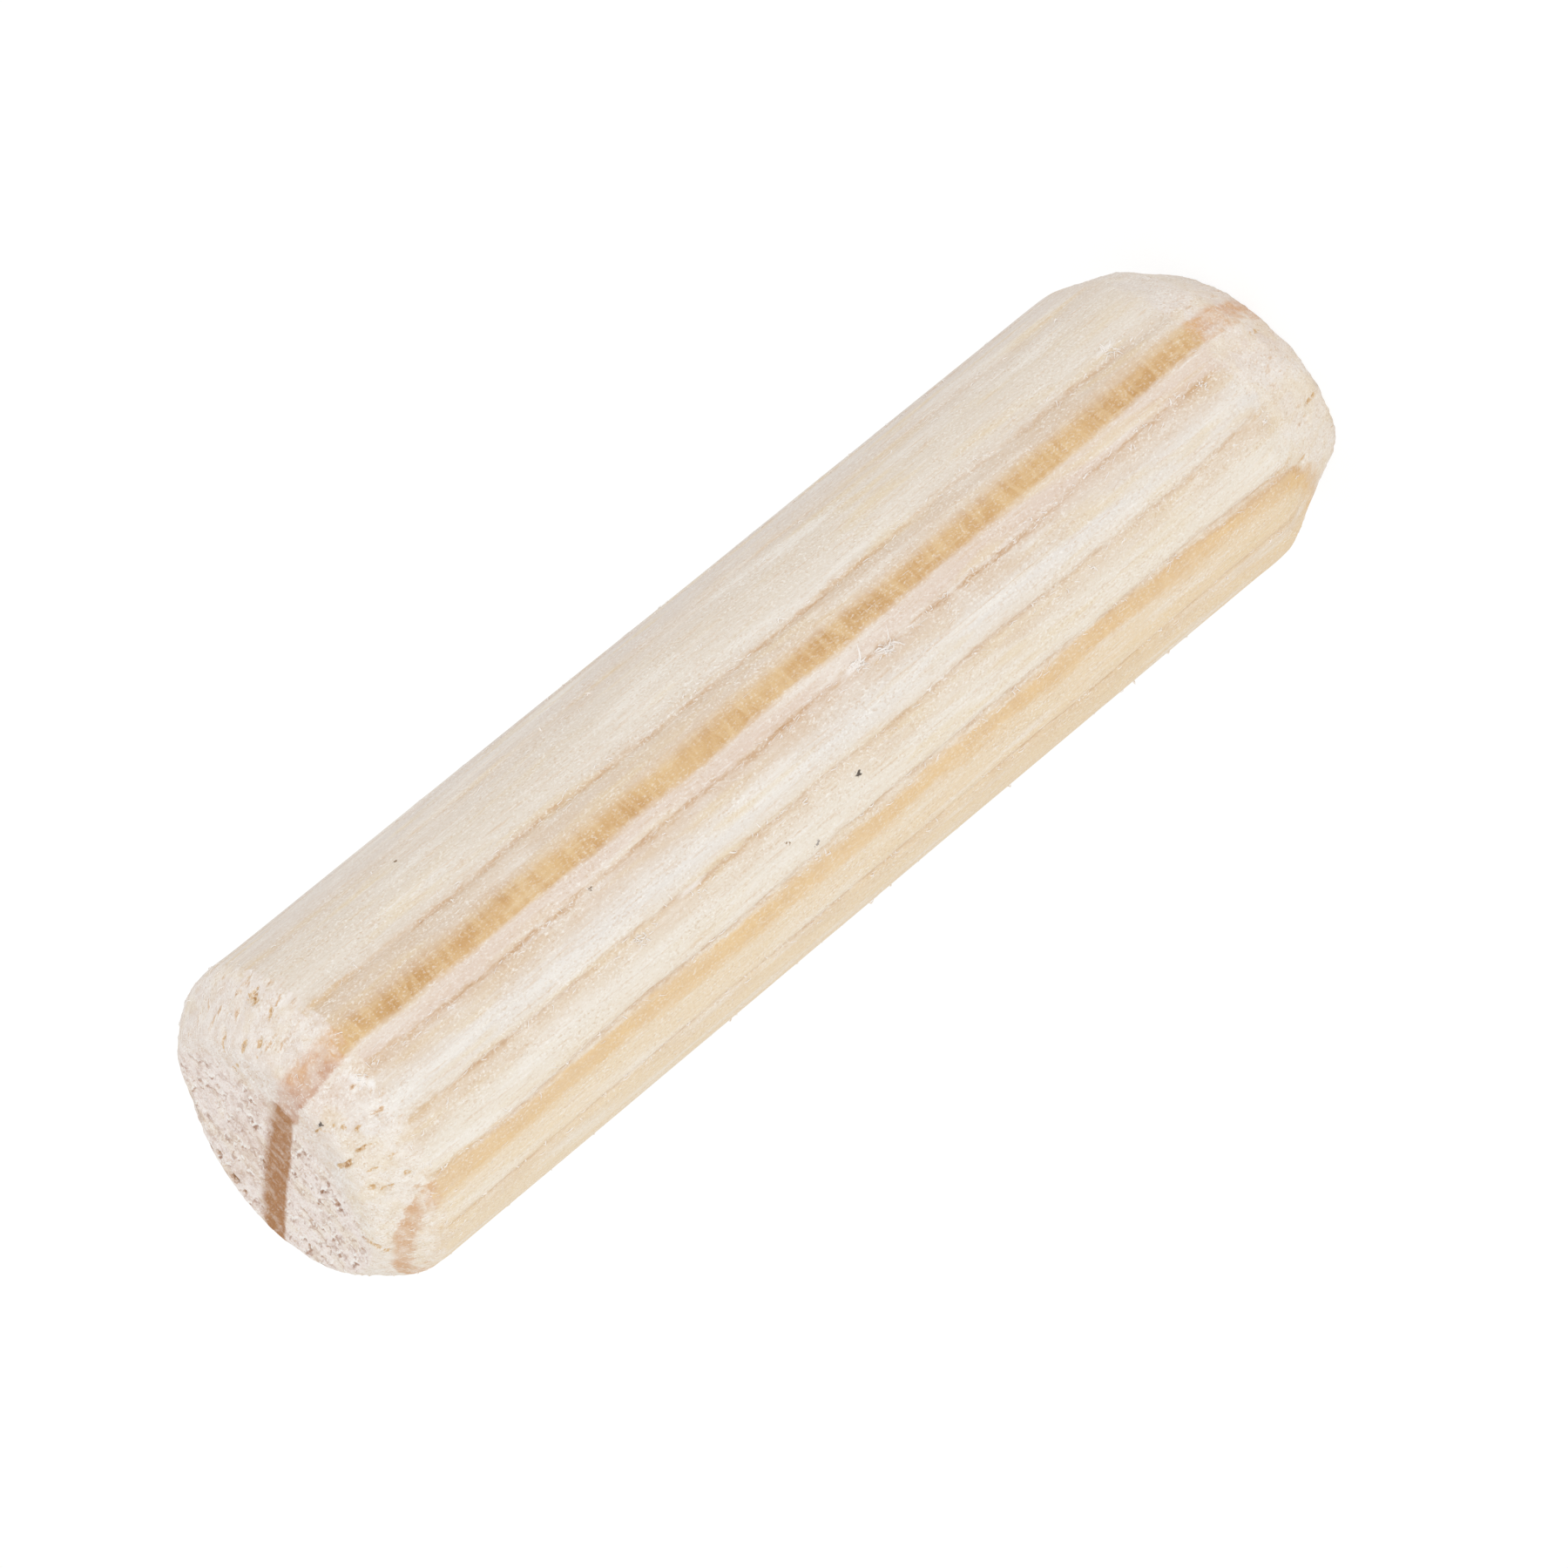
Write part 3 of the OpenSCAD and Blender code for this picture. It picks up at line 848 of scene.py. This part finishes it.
def side_point(ring, angle, lands):
    """Place of a point on a ring, and its surface values."""
    tilt = RINGS[ring][1]
    radius, height, end = between(lands, angle)
    drop, away, mark = flute_relief(angle, height)
    below_side = LAND_RADIUS - radius  # 0 until a chamfer starts
    cut = ease(below_side, 0.02, 0.2)
    mark *= 1 - ease(below_side, 0.05, 0.30)
    radius = min(radius, LAND_RADIUS - drop)
    x, y = radius * cos(angle), radius * sin(angle)
    torn = torn_relief(angle, sawn(x, y, height).z, cut)
    if height > PIN_LENGTH - PITTED_RIM:
        torn = max(torn, open_pore(x, y))
    if height < PIN_LENGTH / 2:
        cut_top = BOTTOM_CUT + BOTTOM_CUT_SWING * cos(angle - BOTTOM_CUT_SIDE)
        cut_top = max(BOTTOM_CUT_LEAST, cut_top)
        end = max(0.5 * ease(height, cut_top, cut_top - 0.7), ease(end, 0.4, 1.0))
    sink = TEAR_SHARE * torn + fibre_relief(x, y, height, cut)
    sink -= fullness(angle, height)
    radius -= sink * sin(tilt)
    height -= sink * cos(tilt)
    place = sawn(radius * cos(angle), radius * sin(angle), height)
    return place, end, away, mark, max(0.0, torn / TEAR_UNIT), max(0.0, -torn / CHIP_HEIGHT)


def face_point(x, y, height):
    """The same for a point inside an end face."""
    pores = waver(x * 3.4, y * 3.4, height) + 0.8 * waver(x * 8, y * 8, height)
    depth = 0.04 * ease(pores, 0.3, 1.0)
    if height > 0:
        depth = max(depth, open_pore(x, y))
    rough = 0.02 * waver(x * 4.5, y * 4.5, height + 9)
    inward = -1 if height > 0 else 1
    place = sawn(x, y, height + inward * (depth + rough))
    return place, 1.0, 1.0, 0.0, depth / TEAR_UNIT, 0.0


def fill_end_face(bm, rim, height, circles, steps):
    """Closes an end from its rim inwards, with circles and then with rings a step further in each.
    Returns the vertices that it added."""
    edges, added = rim, []
    for count, radius in circles:
        circle = bmesh.ops.create_circle(
            bm, cap_ends=False, segments=count, radius=radius,
            matrix=Matrix.Translation((0, 0, height)))["verts"]
        inner = list({e for v in circle for e in v.link_edges})
        bmesh.ops.bridge_loops(bm, edges=edges + inner)
        edges = inner
        added += circle
    middle = bmesh.ops.contextual_create(bm, geom=edges)["faces"]
    for step in steps:
        bmesh.ops.inset_individual(bm, faces=middle, thickness=step)
        added += middle[0].verts
    return added + bmesh.ops.poke(bm, faces=middle)["verts"]


def build_pin():
    """The pin as one closed bmesh in mm: a tube of rings and columns, laid on the solid's lands,
    with its flutes, torn places and wear pressed in, and both ends filled."""
    bm = bmesh.new()
    bmesh.ops.create_cone(bm, cap_ends=False, segments=COLUMNS, radius1=1, radius2=1, depth=2)
    uprights = [e for e in bm.edges if abs(e.verts[0].co.z - e.verts[1].co.z) > 1]
    bmesh.ops.subdivide_edges(bm, edges=uprights, cuts=len(RINGS) - 2, use_grid_fill=True)
    layers = [bm.verts.layers.float.new(name) for name in SURFACE_VALUES]

    def settle(vert, place, *amounts):
        vert.co = place
        for layer, amount in zip(layers, amounts):
            vert[layer] = amount

    last = len(RINGS) - 1
    rims = {0: [], last: []}
    for edge in bm.edges:
        if edge.is_boundary:
            rims[0 if edge.verts[0].co.z < 0 else last].append(edge)
    angles = column_angles()
    lands = [lands_round_a_ring(*ring) for ring in RINGS]
    for vert in list(bm.verts):
        ring = round((vert.co.z + 1) / 2 * last)
        column = round(atan2(vert.co.y, vert.co.x) / (2 * pi) * COLUMNS) % COLUMNS
        settle(vert, *side_point(ring, angles[column], lands[ring]))

    for ring, height, fill in ((0, 0.0, BOTTOM_FILL), (last, PIN_LENGTH, TOP_FILL)):
        for vert in fill_end_face(bm, rims[ring], height, *fill):
            settle(vert, *face_point(vert.co.x, vert.co.y, height))
    bmesh.ops.recalc_face_normals(bm, faces=bm.faces)
    return bm


# ---- lifted fibres

STRANDS = 12  # shapes that all the lifted fibres are copies of
RAY_START = 6  # distance from the axis, outside the pin

# Along the flutes: fibres per fully marked flute, their lengths, thickness, turn away from the
# grain and rise in thicknesses, and their angles from the root
FLUTE_FIBRES = (
    (90, (0.10, 0.30), 0.024, 0.4, 1.0, (-0.05, 0.03)),
    (60, (0.09, 0.20), 0.042, 0.9, 1.2, (-0.04, 0.03)))

# All round the pin: the same, with heights instead of the angles
ZONE_FIBRES = (
    (600, (0.10, 0.4), 0.014, 0.12, 0.4, (BOTTOM_SHOULDER, TOP_SHOULDER)),
    (420, (0.06, 0.2), 0.024, 0.9, 1.0, (TOP_SHOULDER - 0.2, PIN_LENGTH - 0.1)),
    (260, (0.06, 0.25), 0.018, 0.8, 1.0, (0.5, BOTTOM_SHOULDER)))

# Tufts of torn fibres: angle round the pin in degrees, height and number of fibres
TUFTS = (
    (-59.0, 3.9, 18), (-88.5, 2.9, 9), (-85.0, 4.8, 7), (-109.4, 2.1, 9), (-112.0, 7.8, 5),
    (-88.9, 13.0, 26), (-87.0, 13.8, 26), (-128.6, 17.1, 5), (-110.0, 19.9, 6),
    (-110.3, 21.6, 15), (-46.6, 16.0, 4), (-88.5, 28.7, 12))
TUFT_TURN, TUFT_HEIGHT = 0.03, 0.15  # half-widths round the pin and along it


def strand_shapes():
    """Fibres of unit length along x and unit thickness, that rise from the wood and bend over."""
    shapes = []
    for _ in range(STRANDS):
        bm = bmesh.new()
        bmesh.ops.create_cone(
            bm, cap_ends=True, segments=3, radius1=0.5, radius2=0.18, depth=1,
            matrix=Matrix.Translation((0.5, 0, 0)) @ Matrix.Rotation(pi / 2, 4, "Y"))
        lengthwise = [e for e in bm.edges if abs(e.verts[0].co.x - e.verts[1].co.x) > 0.5]
        bmesh.ops.subdivide_edges(bm, edges=lengthwise, cuts=2)
        bow, sway = DICE.uniform(0.5, 1.6), DICE.uniform(-1.5, 1.5)
        for vert in bm.verts:
            along = vert.co.x
            vert.co.z += bow * sin(pi * min(1.0, along * 1.15)) - 0.5
            vert.co.y += sway * along * along
        shapes.append(new_mesh("strand", bm))
    return shapes


def lay_fibre(fibres, shapes, surface, angle, height, length, thickness, turn, lift):
    """Roots one fibre where a ray towards the axis meets the surface. turn is away from the grain,
    and lift is in thicknesses."""
    outward = Vector((cos(angle), sin(angle), 0))
    start = outward * RAY_START + Vector((0, 0, height))
    root, normal, _, _ = surface.ray_cast(start, -outward)
    if root is None:
        return
    grain = Vector((0, 0, 1)) - normal * normal.z
    if grain.length < 0.1:  # on an end face
        return
    grain = Matrix.Rotation(turn, 3, normal) @ grain.normalized()
    side = normal.cross(grain)
    axes = Matrix((grain * length, side * thickness, normal * thickness * lift))
    strand = DICE.choice(shapes).copy()
    strand.transform(Matrix.Translation(root) @ axes.transposed().to_4x4())
    fibres.from_mesh(strand)
    bpy.data.meshes.remove(strand)


def build_fibres(pin):
    """All the lifted fibres as one bmesh in mm."""
    surface = BVHTree.FromBMesh(pin)
    shapes = strand_shapes()
    fibres = bmesh.new()

    def scatter(count, lengths, thickness, turn, lift, angles, heights):
        for _ in range(count):
            way = DICE.choice((0, pi))
            lay_fibre(
                fibres, shapes, surface, DICE.uniform(*angles), DICE.uniform(*heights),
                DICE.uniform(*lengths), DICE.uniform(0.7, 1.3) * thickness,
                way + DICE.gauss(0, turn), DICE.uniform(0.6, 1.4) * lift)

    for (at, _), mark in zip(FLUTES, FLUTE_MARKS):
        for count, *kind, (before, after) in FLUTE_FIBRES:
            angles, side = (at + before, at + after), (BOTTOM_SHOULDER, TOP_SHOULDER)
            scatter(round(count * mark), *kind, angles, side)
    for count, *kind, heights in ZONE_FIBRES:
        scatter(count, *kind, (0, 2 * pi), heights)
    for degrees_round, height, count in TUFTS:
        at = radians(degrees_round)
        longest = 0.10 + 0.0004 * count ** 2
        scatter(
            count, (0.09, longest), 0.042, 0.8, 1.2, (at - TUFT_TURN, at + TUFT_TURN),
            (height - TUFT_HEIGHT, height + TUFT_HEIGHT))
    layer = fibres.verts.layers.float.new("lifted")
    for vert in fibres.verts:
        vert[layer] = 1.0
    return fibres


# ---- pieces

def add_piece(name, bm, material, smooth):
    """A finished piece from a bmesh in mm."""
    bmesh.ops.scale(bm, vec=(MM, MM, MM), verts=bm.verts)
    for face in bm.faces:
        face.smooth = smooth
    piece = new_object(name, new_mesh(name, bm))
    piece.data.materials.append(material)
    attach(piece, "root")
    return piece


# ---- stage and light

FLOOR_HALF = 1.5  # metres
FLOOR_GLOW, FLOOR_SEEN_GLOW = 0.35, 0.45  # share of glow for all rays, and more if seen
DOME_STRENGTH = 0.84
SOFTBOX_PLACE = (-60, -440, 330)
SOFTBOX_SIDE, SOFTBOX_WATTS = 0.35, 0.53  # metres and watts


def add_floor():
    """White card on a light table, so that it also lights the pin's lower end. The camera sees it
    at full white, apart from the pin's soft shadow."""
    bm = bmesh.new()
    bmesh.ops.create_grid(bm, x_segments=1, y_segments=1, size=FLOOR_HALF)
    floor = new_object("floor", new_mesh("floor", bm))
    material, tree = new_material("white card")
    card = add(tree, "BsdfDiffuse", {"Color": srgb("#F2F1EF")})
    glow = add(tree, "Emission", {"Color": (1, 1, 1, 1), "Strength": 1.08})
    seen = add(tree, "LightPath", output="Is Camera Ray")
    share = add(tree, "Math MULTIPLY_ADD", {0: seen, 1: FLOOR_SEEN_GLOW, 2: FLOOR_GLOW})
    mixed = add(tree, "MixShader", {0: share, 1: card, 2: glow})
    add(tree, "OutputMaterial", {"Surface": mixed})
    floor.data.materials.append(material)


def add_light():
    """An even white dome and one large softbox in front of the pin."""
    world = bpy.data.worlds.new("studio")
    bpy.context.scene.world = world
    world.use_nodes = True
    tree = world.node_tree
    tree.nodes.clear()
    dome = add(tree, "Background", {"Color": (1, 1, 1, 1), "Strength": DOME_STRENGTH})
    white = add(tree, "Background", {"Color": (1, 1, 1, 1), "Strength": 1.0})
    seen = add(tree, "LightPath", output="Is Camera Ray")
    mixed = add(tree, "MixShader", {0: seen, 1: dome, 2: white})
    add(tree, "OutputWorld", {"Surface": mixed})

    data = bpy.data.lights.new("softbox", "AREA")
    data.shape = "SQUARE"
    data.size = SOFTBOX_SIDE
    data.energy = SOFTBOX_WATTS
    softbox = new_object("softbox", data)
    softbox.location = Vector(SOFTBOX_PLACE) * MM
    aim = softbox.location - Vector((0, 0, PIN_LENGTH / 2)) * MM
    softbox.rotation_euler = aim.to_track_quat("Z", "Y").to_euler()


add_camera()
add_light()
add_floor()
pine = softwood()
pin_form = build_pin()
fibre_form = build_fibres(pin_form)
fluted_pin = add_piece("fluted_pin", pin_form, pine, True)
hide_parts("dowel_pin")
add_piece("lifted_fibres", fibre_form, pine, False)

bpy.context.scene.view_settings.view_transform = "Standard"
bpy.context.view_layer.update()
